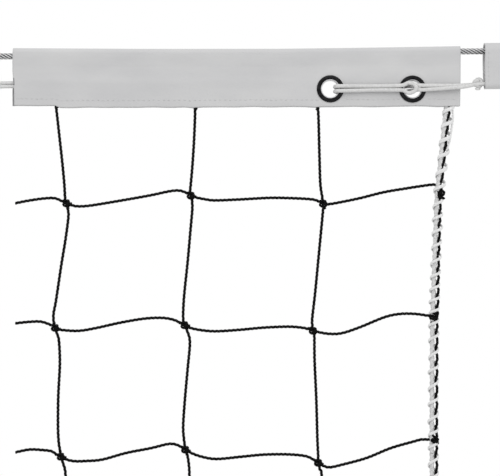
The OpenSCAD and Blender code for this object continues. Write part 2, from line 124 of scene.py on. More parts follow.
def line_through(points, step):
    """A smooth line through the points with a point every step, and the distance along it."""
    p = np.array(points, float)
    ends = np.vstack([2 * p[0] - p[1], p, 2 * p[-1] - p[-2]])
    runs = []
    for a, b, c, d in zip(ends, ends[1:], ends[2:], ends[3:]):
        t = np.linspace(0, 1, 24, endpoint=False)[:, None]
        runs.append(0.5 * (2 * b + (c - a) * t + (2 * a - 5 * b + 4 * c - d) * t ** 2
                           + (3 * b - a - 3 * c + d) * t ** 3))
    fine = np.vstack(runs + [p[-1:]])
    gone = np.concatenate([[0], np.cumsum(np.linalg.norm(np.diff(fine, axis=0), axis=1))])
    s = np.linspace(0, gone[-1], max(3, int(round(gone[-1] / step)) + 1))
    return np.stack([np.interp(s, gone, fine[:, k]) for k in range(3)], 1), s


def carried_frames(line):
    """Direction, side and cross directions, carried along the line without twisting."""
    t = np.gradient(line, axis=0)
    t /= np.linalg.norm(t, axis=1)[:, None]
    side = np.empty_like(t)
    u = np.array([0.0, 0, 1]) if abs(t[0][2]) < 0.9 else np.array([0.0, -1, 0])
    for i, d in enumerate(t):
        u = u - (u @ d) * d
        u = u / np.linalg.norm(u)
        side[i] = u
    return t, side, np.cross(t, side)


def skins_to_mesh(name, skins, finish, smooth=True):
    """One mesh of tubes. Each skin is rings of points in millimetres: (rings, sides, 3)."""
    points, faces, start = [], [], 0
    for rings in skins:
        n, k = rings.shape[:2]
        a = start + np.arange(n - 1)[:, None] * k + np.arange(k)[None, :]
        b = start + np.arange(n - 1)[:, None] * k + (np.arange(k)[None, :] + 1) % k
        faces += np.stack([a, b, b + k, a + k], -1).reshape(-1, 4).tolist()
        faces.append(list(range(start + k - 1, start - 1, -1)))
        faces.append(list(range(start + (n - 1) * k, start + n * k)))
        points.append(rings.reshape(-1, 3))
        start += n * k
    mesh = bpy.data.meshes.new(name)
    mesh.from_pydata((np.vstack(points) * 0.001).tolist(), [], faces)
    if smooth:
        mesh.polygons.foreach_set("use_smooth", [True] * len(mesh.polygons))
    mesh.materials.append(finish)
    piece = bpy.data.objects.new(name, mesh)
    scene.collection.objects.link(piece)
    return piece


def twisted(line, s, outline, lay, phase=0.0):
    """A skin whose outline, as distances round the line, turns once in every lay."""
    _, u, v = carried_frames(line)
    turn = (2 * math.pi * s / lay + phase)[:, None]
    turn = turn + np.arange(len(outline)) * 2 * math.pi / len(outline)
    r = np.asarray(outline)[None, :, None]
    return line[:, None] + r * (np.cos(turn)[..., None] * u[:, None]
                                + np.sin(turn)[..., None] * v[:, None])


def finish_of(name, colour, rough, metal=0.0, specular=0.5):
    """A material with its shader, ready for its own grain to be wired in."""
    made = bpy.data.materials.new(name)
    made.use_nodes = True
    shader = made.node_tree.nodes["Principled BSDF"]
    shader.inputs["Base Color"].default_value = (*colour, 1)
    shader.inputs["Roughness"].default_value = rough
    shader.inputs["Metallic"].default_value = metal
    shader.inputs["Specular IOR Level"].default_value = specular
    return made, shader


def node(material, kind, **inputs):
    """A new shader node with its inputs set by name."""
    made = material.node_tree.nodes.new(kind)
    for key, value in inputs.items():
        made.inputs[key.replace("_", " ")].default_value = value
    return made


def mottle(material, shader, scale, low, high):
    """Breaks the colour up between two shades with soft noise of the given scale."""
    place = node(material, "ShaderNodeTexCoord")
    noise = node(material, "ShaderNodeTexNoise", Scale=scale, Detail=4.0, Roughness=0.6)
    ramp = node(material, "ShaderNodeValToRGB")
    ramp.color_ramp.elements[0].position = 0.3
    ramp.color_ramp.elements[1].position = 0.7
    ramp.color_ramp.elements[0].color = (*low, 1)
    ramp.color_ramp.elements[1].color = (*high, 1)
    links = material.node_tree.links
    links.new(place.outputs["Object"], noise.inputs["Vector"])
    links.new(noise.outputs["Fac"], ramp.inputs["Fac"])
    links.new(ramp.outputs["Color"], shader.inputs["Base Color"])


def grain(material, shader, scale, height, strength=0.5, low_rough=0.3, high_rough=0.6):
    """Fine surface grain: noise that raises the surface and varies its gloss."""
    place = node(material, "ShaderNodeTexCoord")
    noise = node(material, "ShaderNodeTexNoise", Scale=scale, Detail=6.0, Roughness=0.65)
    bump = node(material, "ShaderNodeBump", Strength=strength, Distance=height)
    spread = node(material, "ShaderNodeMapRange", To_Min=low_rough, To_Max=high_rough)
    links = material.node_tree.links
    links.new(place.outputs["Object"], noise.inputs["Vector"])
    links.new(noise.outputs["Fac"], bump.inputs["Height"])
    links.new(bump.outputs["Normal"], shader.inputs["Normal"])
    links.new(noise.outputs["Fac"], spread.inputs["Value"])
    links.new(spread.outputs["Result"], shader.inputs["Roughness"])


wire_steel, wire_shader = finish_of("wire_steel", (0.42, 0.42, 0.43), 0.35, metal=0.85)
mottle(wire_steel, wire_shader, 900, (0.36, 0.36, 0.37), (0.72, 0.72, 0.72))
grain(wire_steel, wire_shader, 2500, 0.0002, 0.4, 0.25, 0.5)

lean = math.degrees(math.atan2(cable_z, eye_neck_x)
                    + math.acos(eye_turn_r / math.hypot(eye_neck_x, cable_z)))
eye_arc = [(eye_turn_r * math.cos(math.radians(d)), 0, eye_turn_r * math.sin(math.radians(d)))
           for d in np.linspace(lean, 360 - lean, 17)]
left_end = ([(46.8, 0, -cable_z), (34, 0, -cable_z), (28.8, 0, -cable_z), (26, 0, -cable_z - 0.5)]
            + eye_arc[::-1] + [(26, 0, cable_z + 0.5), (28.8, 0, cable_z), (34, 0, cable_z)])
straight = [(x, 0, cable_z) for x in range(60, 470, 20)]
right_end = [(eye_span - x, y, z) for x, y, z in left_end][::-1]
cable_line, cable_s = line_through(left_end + straight + right_end, 0.8)
_, cable_u, cable_v = carried_frames(cable_line)
cable_strands = []
for k in range(6):
    turn = (2 * math.pi * (cable_s / strand_lay + k / 6))[:, None]
    strand_line = cable_line + strand_ring * (np.cos(turn) * cable_u + np.sin(turn) * cable_v)
    cable_strands.append(twisted(strand_line, cable_s, strand_outline_r, wire_lay))
wire_rope = skins_to_mesh("wire_rope", cable_strands, wire_steel)
# Painted shade: the valleys between the strands are coloured near black, and the crowns keep the
# steel's own colour.
from_middle = np.concatenate(cable_strands) - np.tile(cable_line, (6, 1))[:, None]
crown = np.linalg.norm(from_middle, axis=2)
groove_shade = wire_rope.data.attributes.new("groove_shade", "FLOAT", "POINT")
groove_shade.data.foreach_set("value", np.clip((crown.ravel() - 1.75) / 0.65, 0, 1).astype(np.float32))
groove_shade_input = node(wire_steel, "ShaderNodeAttribute")
groove_shade_input.attribute_name = "groove_shade"
groove_shade_mix = node(wire_steel, "ShaderNodeMix")
groove_shade_mix.data_type = "RGBA"
# The near-black colour painted into the valleys as shade.
groove_shade_mix.inputs["A"].default_value = (0.05, 0.05, 0.052, 1)
links = wire_steel.node_tree.links
links.new(groove_shade_input.outputs["Fac"], groove_shade_mix.inputs["Factor"])
links.new(wire_shader.inputs["Base Color"].links[0].from_socket, groove_shade_mix.inputs["B"])
links.new(groove_shade_mix.outputs["Result"], wire_shader.inputs["Base Color"])
# The rope's fibre core. Its near-black colour also stands as painted shade where it shows in the
# gaps between the strands.
core_gap_shade, shader = finish_of("dark_core_painted_gap_shade", (0.03, 0.03, 0.032), 0.7, specular=0.2)
mottle(core_gap_shade, shader, 900, (0.02, 0.02, 0.021), (0.05, 0.05, 0.052))
rope_core = skins_to_mesh("wire_rope_core",
                          [twisted(cable_line, cable_s, [core_r] * 8, core_lay)], core_gap_shade)
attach(rope_core, "cable")
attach(wire_rope, "cable")
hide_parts("steel_cable", "left_cable_loop", "right_cable_loop")

# ---- Thimbles and ferrules ----
# Each thimble is a solid zinc-plated steel ring with a groove for the cable. Each ferrule is an
# aluminium sleeve pressed over both runs of the cable, with the marks of the press across it.
ferrule_x, ferrule_l, ferrule_r = 29.0, 18.0, 4.2
zinc, shader = finish_of("zinc_plate", (0.55, 0.56, 0.58), 0.4, metal=0.9)
mottle(zinc, shader, 300, (0.36, 0.37, 0.385), (0.5, 0.51, 0.525))
grain(zinc, shader, 900, 0.0002, 0.3, 0.3, 0.5)
pressed_aluminium, shader = finish_of("pressed_aluminium", (0.46, 0.46, 0.47), 0.4, metal=0.9)
mottle(pressed_aluminium, shader, 220, (0.4, 0.4, 0.41), (0.52, 0.52, 0.53))
grain(pressed_aluminium, shader, 1500, 0.0001, 0.25, 0.3, 0.5)
for name in ("left_thimble", "right_thimble"):
    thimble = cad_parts[name]
    thimble.data.materials.clear()
    thimble.data.materials.append(zinc)
    edge = thimble.modifiers.new("eased_edges", "BEVEL")
    edge.width = 0.0003
    edge.segments = 2
    edge.limit_method = "ANGLE"


def ferrule_skin(start, length):
    """Rings of an oval sleeve with rolled ends and four shallow press marks."""
    round_angle = np.radians(np.arange(0, 360, 10))
    rings = []
    for along in np.linspace(0, 1, 49):
        ends = min(along, 1 - along) * length
        shrink = 0.75 * max(0, 1 - ends / 1.3) ** 2
        mark = 0.32 * max(0, math.cos(2 * math.pi * 4 * along - math.pi)) ** 3
        r = ferrule_r - shrink - (mark if 1.5 < ends else 0)
        y = r * np.cos(round_angle)
        z = r * np.sin(round_angle) + np.where(np.sin(round_angle) >= 0, 1, -1) * cable_z
        rings.append(np.stack([np.full_like(y, start + along * length), y, z], 1))
    return np.array(rings)


for name, start in (("left_ferrule", ferrule_x),
                    ("right_ferrule", eye_span - ferrule_x - ferrule_l)):
    sleeve = skins_to_mesh(name + "_sleeve", [ferrule_skin(start, ferrule_l)],
                           pressed_aluminium)
    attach(sleeve, "cable")
    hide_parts(name)

# ---- Head cord ----
# Braided white nylon cord, 3 mm, doubled. Both ends are sewn in inside the headband, and the fold
# leaves the left end of the band, where it is knotted into a loop for the post's cleat.
braid_step = 0.72
knot_cord_r = 1.5            # a cord is squeezed where it is knotted


def braided(line, radius, sides=16, depth=0.11):
    """A skin with the small diamonds of a braid, every other point raised."""
    _, u, v = carried_frames(line)
    angle = np.arange(sides) * 2 * math.pi / sides
    odd = (np.arange(len(line))[:, None] + np.arange(sides)[None, :]) % 2
    r = (radius - depth * odd)[..., None]
    return line[:, None] + r * (np.cos(angle)[None, :, None] * u[:, None]
                                + np.sin(angle)[None, :, None] * v[:, None])


braid_white, shader = finish_of("braided_white_nylon", (0.57, 0.57, 0.567), 0.6, specular=0.25)
mottle(braid_white, shader, 700, (0.5, 0.5, 0.497), (0.63, 0.63, 0.627))
grain(braid_white, shader, 5000, 0.0001, 0.4, 0.5, 0.75)
head_cord_route = [
    (285, 0, -18.6), (240, 0, -18.4), (180, 0, -18.3), (120, 0, -18.3), (70, 0, -18.3),
    (50, 0, -18.3), (40, 0, -17), (32, 0, -14.6), (24, 0, -13.6), (18, 0, -16), (15.6, 0, -20),
    (18, 0, -24), (24, 0, -26.4), (32, 0, -25.4), (40, 0, -23), (50, 0, -21.3), (70, 0, -21.2),
    (120, 0, -21.3), (180, 0, -21.4), (240, 0, -21.4), (285, 0, -21.8)]
head_line, head_s = line_through(head_cord_route, braid_step)
head_cord = skins_to_mesh("head_cord_braid", [braided(head_line, 1.42)], braid_white)
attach(head_cord, "headband")
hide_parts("head_cord")


def thumb_knot(name, centre, size, turn, tip):
    """A drawn-up overhand knot: a cord that passes round and through itself three times."""
    k = np.linspace(0.04, 2 * math.pi - 0.04, 61)
    ring = size * (1.9 + 0.95 * np.cos(3 * k))
    flat = np.stack([ring * np.cos(2 * k), 0.95 * size * np.sin(3 * k), ring * np.sin(2 * k)], 1)
    a, b = math.radians(turn), math.radians(tip)
    about_y = np.array([[math.cos(a), 0, math.sin(a)], [0, 1, 0], [-math.sin(a), 0, math.cos(a)]])
    about_z = np.array([[math.cos(b), -math.sin(b), 0], [math.sin(b), math.cos(b), 0], [0, 0, 1]])
    path, _ = line_through(flat @ about_y.T @ about_z.T + np.array(centre), 0.6)
    return skins_to_mesh(name, [braided(path, knot_cord_r, 14)], braid_white)


head_knot = thumb_knot("head_cord_hitch", (46, 0, -20), 1.02, turn=20, tip=30)
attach(head_knot, "headband")
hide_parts("head_cord_knot")

# ---- Lacing cord ----
# One braided white cord folded in half. The fold lies over the right eyelet, both halves pass
# round the strip of band between the eyelets and out through the fold, and they run to the right
# through a stopper knot and the end cover to a knotted loop for the post.
rim_y = 5.2
back_y = 5.1
lacing_cord_route = [
    (489, -1.2, -25.4), (494, -0.8, -29), (500, 0, -31), (506, 0, -29.5), (509.5, 0, -25),
    (509.5, 0, -20), (506, 0, -15.8), (500, 0.2, -14.2), (494, 1, -16.5), (489, 1.6, -20.5),
    (483, 1.6, -22.4), (474, 1.6, -22.6), (450, 1.6, -22.7), (432, 1.6, -23), (424, 1.6, -23.4),
    (419.5, -0.4, -23.8), (416, -2.6, -24.2), (411.5, -4.5, -24.6), (404, -4.6, -24.7),
    (396, -4.8, -24.6), (388, -5.1, -24.5), (382.5, -rim_y, -24.4), (378.4, -4.9, -24.3),
    (375.7, -2.4, -24.3), (374, 0, -24.2), (372.3, 2.4, -24.1), (369.5, 4.8, -24),
    (365.5, 5.3, -24), (360, back_y, -24), (342, back_y, -24), (324, back_y, -24.2),
    (318, 5.2, -24.1), (314.9, 4.9, -24.2), (313.7, 2.6, -24.2), (313.4, 0, -24.2),
    (313.7, -2.6, -24.2), (314.9, -5, -24.2), (318, -5.3, -24.2), (324, -rim_y, -24.2),
    (342, -4.7, -24.4), (358, -5.1, -24.4), (366, -5.3, -24.1), (370.5, -5.2, -22.3),
    (374.8, -5.3, -23.4), (376.6, -5.9, -26.2), (374.8, -5.3, -29.0), (370.5, -5.2, -30.1),
    (366, -5.3, -28.0), (358, -5.1, -27.6), (342, -4.7, -27.5), (324, -rim_y, -27.8),
    (318, -5.3, -27.8), (314.9, -5, -27.8), (313.7, -2.6, -27.8), (313.4, 0, -27.8),
    (313.7, 2.6, -27.8), (314.9, 4.9, -27.8), (318, 5.2, -27.9), (324, back_y, -28),
    (342, back_y, -28), (360, back_y, -28), (365.5, 5.3, -28), (369.5, 4.8, -27.9),
    (372.3, 2.4, -27.8), (374, 0, -27.7), (375.7, -2.4, -27.7), (378.4, -4.9, -27.6),
    (382.5, -rim_y, -27.7), (388, -5.4, -27.5), (396, -5.9, -27.1), (404, -6.6, -26.6),
    (411.5, -6.6, -26.1), (416, -5.2, -25.4), (419.5, -3.4, -24.6), (424, -1.6, -23.6),
    (432, -1.6, -23), (450, -1.6, -22.7), (474, -1.6, -22.6), (483.5, -1.6, -22.6)]
lacing_line, lacing_s = line_through(lacing_cord_route, braid_step)
lacing_cord = skins_to_mesh("lacing_cord_braid", [braided(lacing_line, 1.6)], braid_white)
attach(lacing_cord, "headband")
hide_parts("lacing_cord")
stopper = thumb_knot("stopper_hitch", (425.9, 0, -22.3), 1.12, turn=60, tip=12)
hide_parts("stopper_knot")
loop_hitch = thumb_knot("end_loop_hitch", (486, 0, -22.8), 1.0, turn=15, tip=25)
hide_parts("end_knot")
tail_k = np.linspace(0, 2 * math.pi, 25)
tail_path, _ = line_through(
    np.stack([425.6 + 1.75 * np.cos(tail_k), -0.9 + 0.3 * np.sin(tail_k),
              -27.0 + 0.75 * np.sin(tail_k)], 1), 0.35)
stopper_tail = skins_to_mesh("stopper_tail", [braided(tail_path, 0.55, 8)], braid_white)
for piece in (stopper, loop_hitch, stopper_tail):
    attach(piece, "headband")

# ---- Headband ----
# One strip of white vinyl-coated cloth, 0.9 mm, folded over the cable and left open at the hem.
# The eyelets press it together, the cords swell it, and hand lacing leaves its edges wavy.
cloth_t = 0.9
band_low_x, band_high_x = 60.0, 412.0
hem_z, band_top_z = -39.9, 6.4
fold_r = 3.1                 # inside the fold, over the cable
eyelets = ((309.5, -26.0), (374.0, -26.9))
barrel_hole_r = 7.7          # the hole cut in the cloth for an eyelet's barrel
hem_hitch_xs = (203.5, 299.5)
head_cord_z, head_cord_end_x = -19.9, 285.0


def band_half(z):
    """Half the band's outer thickness at a height, from the round fold to the hem."""
    return np.interp(z, [-39.9, -23, -8, 0.4], [1.4, 1.75, 1.9, 2.9]) + cloth_t


def band_section():
    """The middle of the cloth from the front hem over the cable to the back hem, as y, z."""
    down = np.linspace(hem_z, 1.6, 44)
    front = np.stack([-(band_half(down) - cloth_t / 2), down], 1)
    over = np.radians(np.linspace(188, -8, 15)[1:-1])
    r = fold_r + cloth_t / 2
    top = np.stack([r * np.cos(over), cable_z + r * np.sin(over)], 1)
    back = front[::-1] * [-1, 1]
    return np.vstack([front, top, back])


def hem_drop(x):
    """How far the cloth's lower edge hangs from its nominal height."""
    drop = np.interp(x, [60, 93.5, 96.5, 180, 270, 330, 412],
                     [3.6, 3.0, 1.6, 1.0, 0.4, -0.2, -0.8])
    for hitch_x in hem_hitch_xs:
        drop = drop - 0.8 * np.clip(1 - abs(x - hitch_x + 2) / 9, 0, 1) ** 1.5
    return drop


def fold_rise(x):
    """How far the band's folded top lies over its nominal height."""
    return np.interp(x, [60, 80, 165, 270, 320, 365, 412],
                     [2.4, 2.1, 0.7, -0.35, -0.3, -0.1, 0.2])


def cloth_waves(x, z, side):
    """Slow ripples in the cloth, in millimetres, that differ from front to back."""
    a = 0.22 * np.sin(x / 17.0 + 0.8 * side) * np.cos(z / 14.0 + 0.5 * side)
    b = 0.15 * np.sin(x / 7.3 + z / 9.0 + 2.0 * side)
    c = 0.10 * np.sin(x / 31.0 - z / 5.5 + 1.3 * side)
    return (a + b + c) * np.clip((1.5 - z) / 8, 0, 1)


def shaped_band(x, y, z):
    """The cloth's place after hanging, from its nominal place in millimetres."""
    side = np.sign(y)
    share = np.clip((z - hem_z) / (band_top_z - hem_z), 0, 1)
    lift = hem_drop(x) * (1 - share) + fold_rise(x) * share
    lift = lift + 0.22 * np.sin(x / 5.1) * np.sin(x / 23.0) * (1 - share) ** 3
    push = cloth_waves(x, z, side)
    for ex, ez in eyelets:
        away = np.hypot(x - ex, z - ez)
        push = push * np.clip((away - 11) / 8, 0, 1)
        lift = lift * np.clip((away - 10) / 14, 0, 1)
        push = push + 0.28 * np.exp(-((away - 12.6) / 1.7) ** 2)
    cord_bulge = 0.3 * np.exp(-((z - head_cord_z) / 3.4) ** 2)
    push = push + cord_bulge * np.clip((head_cord_end_x - x) / 12, 0, 1)
    near_left = np.clip((band_low_x + 10 - x) / 10, 0, 1)
    near_right = np.clip((x - band_high_x + 12) / 12, 0, 1)
    cut_askew = near_left * np.clip((-12 - z) / 16, 0, 1)
    skew = 0.8 * near_left * share ** 4 + np.where(side < 0, 1.1 * cut_askew, -0.8 * cut_askew)
    skew = skew - near_right * 0.7 * (1 - share) ** 2
    return x + skew, y + side * push, z + lift


vinyl, shader = finish_of("vinyl_cloth", (0.495, 0.496, 0.5), 0.5, specular=0.3)
place = node(vinyl, "ShaderNodeTexCoord")
stretch = node(vinyl, "ShaderNodeMapping")
stretch.inputs["Scale"].default_value = (0.35, 1, 1)
cloud = node(vinyl, "ShaderNodeTexNoise", Scale=45.0, Detail=5.0, Roughness=0.6)
shade = node(vinyl, "ShaderNodeValToRGB")
shade.color_ramp.elements[0].position = 0.25
shade.color_ramp.elements[1].position = 0.75
shade.color_ramp.elements[0].color = (0.462, 0.463, 0.47, 1)
shade.color_ramp.elements[1].color = (0.525, 0.525, 0.526, 1)
threads_a = node(vinyl, "ShaderNodeTexWave", Scale=420.0, Distortion=0.6)
threads_a.bands_direction = "X"
threads_b = node(vinyl, "ShaderNodeTexWave", Scale=420.0, Distortion=0.6)
threads_b.bands_direction = "Z"
weave = node(vinyl, "ShaderNodeMath")
weave.operation = "MULTIPLY"
scuffs = node(vinyl, "ShaderNodeTexNoise", Scale=160.0, Detail=8.0, Roughness=0.7)
rough = node(vinyl, "ShaderNodeMapRange", To_Min=0.42, To_Max=0.62)
fine = node(vinyl, "ShaderNodeBump", Strength=0.12, Distance=0.0002)
creases = node(vinyl, "ShaderNodeTexNoise", Scale=26.0, Detail=3.0, Roughness=0.5)
soft = node(vinyl, "ShaderNodeBump", Strength=0.22, Distance=0.0015)
wire = vinyl.node_tree.links.new
wire(place.outputs["Object"], stretch.inputs["Vector"])
wire(stretch.outputs["Vector"], cloud.inputs["Vector"])
wire(stretch.outputs["Vector"], creases.inputs["Vector"])
wire(place.outputs["Object"], threads_a.inputs["Vector"])
wire(place.outputs["Object"], threads_b.inputs["Vector"])
wire(place.outputs["Object"], scuffs.inputs["Vector"])
wire(cloud.outputs["Fac"], shade.inputs["Fac"])
wire(shade.outputs["Color"], shader.inputs["Base Color"])
wire(threads_a.outputs["Fac"], weave.inputs[0])
wire(threads_b.outputs["Fac"], weave.inputs[1])
wire(weave.outputs["Value"], fine.inputs["Height"])
wire(creases.outputs["Fac"], soft.inputs["Height"])
wire(soft.outputs["Normal"], fine.inputs["Normal"])
wire(fine.outputs["Normal"], shader.inputs["Normal"])
wire(scuffs.outputs["Fac"], rough.inputs["Value"])
wire(rough.outputs["Result"], shader.inputs["Roughness"])

section = band_section()
band_x = np.concatenate([[band_low_x, band_low_x + 1.1],
                         np.linspace(band_low_x + 2, band_high_x, 235)])
grid_x = np.repeat(band_x[:, None], len(section), 1)
grid_y = np.repeat(section[None, :, 0], len(band_x), 0)
grid_z = np.repeat(section[None, :, 1], len(band_x), 0)
hole_of = np.full(grid_x.shape, -1)
for k, (ex, ez) in enumerate(eyelets):
    hole_of[np.hypot(grid_x - ex, grid_z - ez) < barrel_hole_r] = k
cloth_faces, edge_points = [], {}
rows, across = grid_x.shape
for i in range(rows - 1):
    for j in range(across - 1):
        corners = [(i, j), (i, j + 1), (i + 1, j + 1), (i + 1, j)]
        inside = [c for c in corners if hole_of[c] >= 0]
        if len(inside) == 4:
            continue
        for c in inside:
            edge_points[c] = hole_of[c]
        cloth_faces.append([a * across + b for a, b in corners])
for c, k in edge_points.items():
    ex, ez = eyelets[k]
    dx, dz = grid_x[c] - ex, grid_z[c] - ez
    away = math.hypot(dx, dz)
    grid_x[c] = ex + dx / away * barrel_hole_r
    grid_z[c] = ez + dz / away * barrel_hole_r
cloth_points = np.stack(shaped_band(grid_x, grid_y, grid_z), -1).reshape(-1, 3) * 0.001
used = sorted({p for f in cloth_faces for p in f})
renumber = {p: n for n, p in enumerate(used)}
band_mesh = bpy.data.meshes.new("band_cloth")
band_mesh.from_pydata(cloth_points[used].tolist(), [],
                      [[renumber[p] for p in f] for f in cloth_faces])
band_mesh.polygons.foreach_set("use_smooth", [True] * len(band_mesh.polygons))
band_mesh.materials.append(vinyl)
# Painted shade at the cut left end: dark grey on the back layer's sliver and where the cord comes
# out, where the inside of the fold lies in shade.
end_shade, shader = finish_of("painted_end_shade", (0.26, 0.26, 0.265), 0.8, specular=0.1)
mottle(end_shade, shader, 500, (0.2, 0.2, 0.205), (0.32, 0.32, 0.325))
grain(end_shade, shader, 3000, 0.0002, 0.5, 0.7, 0.9)
band_mesh.materials.append(end_shade)
# The faces that get the painted shade: the back layer's lower end, and both layers round the cord.
for polygon in band_mesh.polygons:
    x, y, z = polygon.center * 1000
    if x < band_low_x + 1.3 and (z < -16 and y > 0 or z < -12 and abs(z + 20) < 5):
        polygon.material_index = 1


def cloth_piece(name, mesh):
    """A piece of cloth of its real thickness, from the mesh of its middle."""
    piece = bpy.data.objects.new(name, mesh)
    scene.collection.objects.link(piece)
    thickness = piece.modifiers.new("thickness", "SOLIDIFY")
    thickness.thickness = cloth_t / 1000
    thickness.offset = 0
    return piece


band = cloth_piece("band_cloth", band_mesh)
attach(band, "headband")
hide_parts("headband")

# ---- Band seam ----
# A lock stitch of polyester thread through both layers, about 5 mm above the hem. It passes
# under the eyelets' rims.
seam_z = -34.5
stitch_pitch = 4.0
thread_white, shader = finish_of("sewing_thread", (0.56, 0.56, 0.562), 0.6, specular=0.3)
mottle(thread_white, shader, 2500, (0.5, 0.5, 0.502), (0.6, 0.6, 0.602))
grain(thread_white, shader, 6000, 0.0001, 0.3, 0.5, 0.7)


def stitch(centre, along, out, length=2.7, radius=0.17):
    """One stitch: a short thread that rises from the cloth and dives back in."""
    c, a, n = (np.array(v, float) for v in (centre, along, out))
    k = np.linspace(-1, 1, 9)
    line = c + k[:, None] * a * length / 2 + (0.08 - 0.4 * k[:, None] ** 4) * n
    gone = np.linspace(0, length, 9)
    return twisted(line, gone, [radius, radius * 0.86] * 3, 2.0)


seam_skins = []
for side in (-1, 1):
    for x in np.arange(band_low_x + 3, band_high_x - 2, stitch_pitch):
        if min(abs(x - ex) for ex, ez in eyelets) < 10.5:
            continue
        at = shaped_band(x, side * band_half(seam_z), seam_z + 0.15 * math.sin(x))
        seam_skins.append(stitch(at, (1, 0, 0.02 * math.sin(x / 9)), (0, side, 0)))
band_seam = skins_to_mesh("band_seam", seam_skins, thread_white)
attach(band_seam, "headband")
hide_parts("hem_stitching")

# ---- Eyelets ----
# Two-part brass grommets with a dark nickel finish: a domed rim in front whose barrel is rolled
# out over a flat washer at the back.
dark_nickel, shader = finish_of("dark_nickel", (0.012, 0.012, 0.013), 0.28, metal=0.9,
                                specular=0.1)
mottle(dark_nickel, shader, 350, (0.007, 0.007, 0.008), (0.024, 0.024, 0.025))
grain(dark_nickel, shader, 1200, 0.0001, 0.25, 0.2, 0.42)
# A lighter nickel for the back washer and the rolled lip; on the lip it is a painted highlight
# round the hole.
washer_and_lip_highlight_nickel, shader = finish_of("nickel_washer_and_painted_lip_highlight", (0.62, 0.62, 0.63), 0.3, metal=0.85)
mottle(washer_and_lip_highlight_nickel, shader, 500, (0.5, 0.5, 0.51), (0.68, 0.68, 0.69))
grain(washer_and_lip_highlight_nickel, shader, 1500, 0.0001, 0.25, 0.22, 0.45)


def turned(name, profile, centre, finish):
    """A closed ring turned from a profile of radius and depth, facing forwards."""
    angle = np.arange(72) * 2 * math.pi / 72
    r = np.array([p[0] for p in profile])[:, None]
    y = np.array([p[1] for p in profile])[:, None] + 0 * angle
    ring = np.stack([centre[0] + r * np.cos(angle), y, centre[1] + r * np.sin(angle)], -1)
    n, k = ring.shape[:2]
    a = np.arange(n)[:, None] * k + np.arange(k)
    b = np.arange(n)[:, None] * k + (np.arange(k) + 1) % k
    c = (np.arange(n)[:, None] + 1) % n * k + (np.arange(k) + 1) % k
    d = (np.arange(n)[:, None] + 1) % n * k + np.arange(k)
    mesh = bpy.data.meshes.new(name)
    mesh.from_pydata((ring.reshape(-1, 3) * 0.001).tolist(), [],
                     np.stack([a, b, c, d], -1).reshape(-1, 4).tolist())
    mesh.polygons.foreach_set("use_smooth", [True] * len(mesh.polygons))
    mesh.materials.append(finish)
    piece = bpy.data.objects.new(name, mesh)
    scene.collection.objects.link(piece)
    return piece


front_rim = [(7.35, -2.9), (10.25, -2.86), (10.6, -2.95), (10.62, -3.1), (10.3, -3.32),
             (9.6, -3.52), (8.7, -3.62), (7.9, -3.6), (7.2, -3.42), (6.85, -3.1), (6.72, -2.6),
             (6.7, 2.6), (6.75, 3.1), (7.0, 3.42), (7.5, 3.55), (8.1, 3.45), (8.3, 3.38),
             (7.5, 3.3), (7.3, 3.0)]
inner_lip = [(6.72, -3.0), (7.0, -3.5), (7.3, -3.6), (7.38, -3.52), (7.1, -3.3), (6.9, -2.8),
             (6.86, 2.4), (6.6, 2.4), (6.58, -2.6)]
back_washer = [(7.4, 2.85), (10.3, 2.82), (10.6, 2.95), (10.5, 3.2), (10.0, 3.38), (8.2, 3.36),
               (7.4, 3.3)]
for word, place in zip(("left", "right"), eyelets):
    rim = turned(word + "_eyelet_rim", front_rim, place, dark_nickel)
    # The rolled lip takes the lighter nickel as a painted highlight along the hole's edge.
    lip = turned(word + "_eyelet_lip", inner_lip, place, washer_and_lip_highlight_nickel)
    washer = turned(word + "_eyelet_back", back_washer, place, washer_and_lip_highlight_nickel)
    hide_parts(word + "_eyelet")
    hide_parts(word + "_eyelet_washer")
    for piece in (rim, lip, washer):
        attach(piece, "headband")

# ---- End cover ----
# A sleeve of the same vinyl cloth, folded round the cable and the lacing cord and closed by a
# lapped seam at the back. It can slide a little along the cable.
cover_x, cover_l = 430.5, 40.0
cover_foot_z = -23.0
cover_foot_r, cover_top_r = 3.4 + cloth_t / 2, 5.1 + cloth_t / 2     # to the middle of the cloth


def cover_half(z):
    """Half the sleeve's thickness at a height, to the middle of its cloth."""
    return np.interp(z, [cover_foot_z, cable_z], [cover_foot_r, cover_top_r])


def cover_section():
    """The middle of the sleeve's cloth as y, z, once round from the back of the top."""
    over = np.radians(np.linspace(0, 180, 19))
    under = np.radians(np.linspace(180, 360, 15))
    down = np.linspace(cable_z, cover_foot_z, 18)[1:-1]
    half = cover_half(down)
    return np.vstack([
        np.stack([cover_top_r * np.cos(over), cable_z + cover_top_r * np.sin(over)], 1),
        np.stack([-half, down], 1),
        np.stack([cover_foot_r * np.cos(under),
                  cover_foot_z + cover_foot_r * np.sin(under)], 1),
        np.stack([half[::-1], down[::-1]], 1)])


def shaped_cover(x, y, z):
    """Soft dents in the sleeve, and a flatter foot."""
    side = np.tanh(y / 2.0)
    middle = np.clip((8 - abs(z + 10)) / 8, 0, 1)
    dent = 0.55 * middle * np.sin((x - cover_x) / cover_l * math.pi)
    dent = dent + 0.18 * np.sin(x / 5.0 + z / 4.0) * middle
    return x + 0.3 + 0.25 * np.sin(z / 6.0), y - side * dent, z + 0.4 * np.clip(z / 8, 0, 1)


